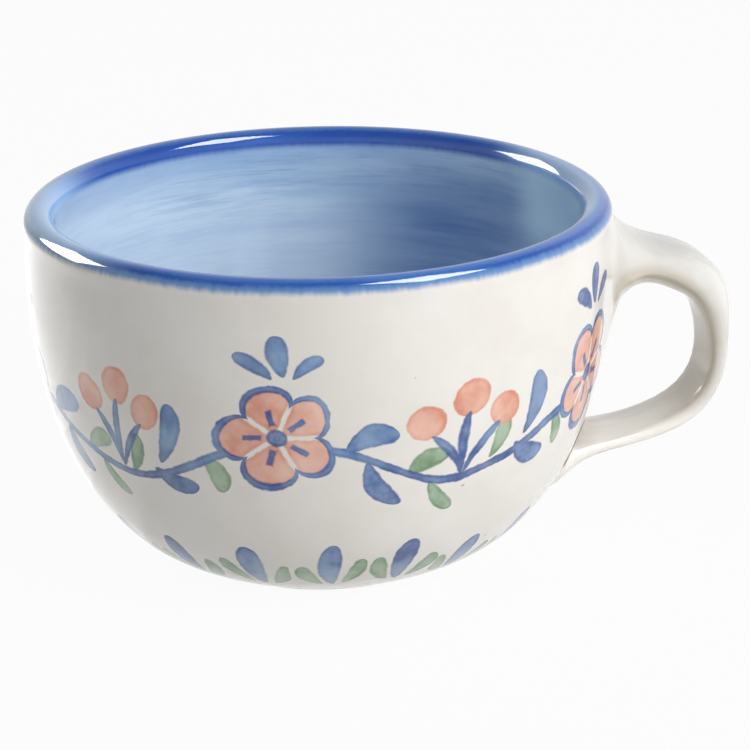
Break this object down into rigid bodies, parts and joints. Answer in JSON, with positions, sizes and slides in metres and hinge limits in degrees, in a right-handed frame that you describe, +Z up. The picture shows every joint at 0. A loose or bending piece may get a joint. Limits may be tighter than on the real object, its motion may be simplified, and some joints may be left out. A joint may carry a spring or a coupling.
{
  "type": "cup",
  "caption": "Wide bowl-shaped stoneware cup with a full round lip, a turned foot ring and a pulled strap handle on one side.",
  "frame": {"origin": "centre of the foot ring, on the surface that the cup stands on", "axes": "+Z up along the axis of the bowl, +X from that axis towards the handle"},
  "size_m": [0.1551, 0.127, 0.0802],
  "materials": {
    "glazed_stoneware": "glossy clear glaze over off-white speckled stoneware, with a cobalt blue lip, a pale blue washed inside and a hand-painted blue vine with coral blossoms round the outside"
  },
  "bodies": {
    "root": {"cup": "glazed_stoneware"}
  },
  "joints": []
}
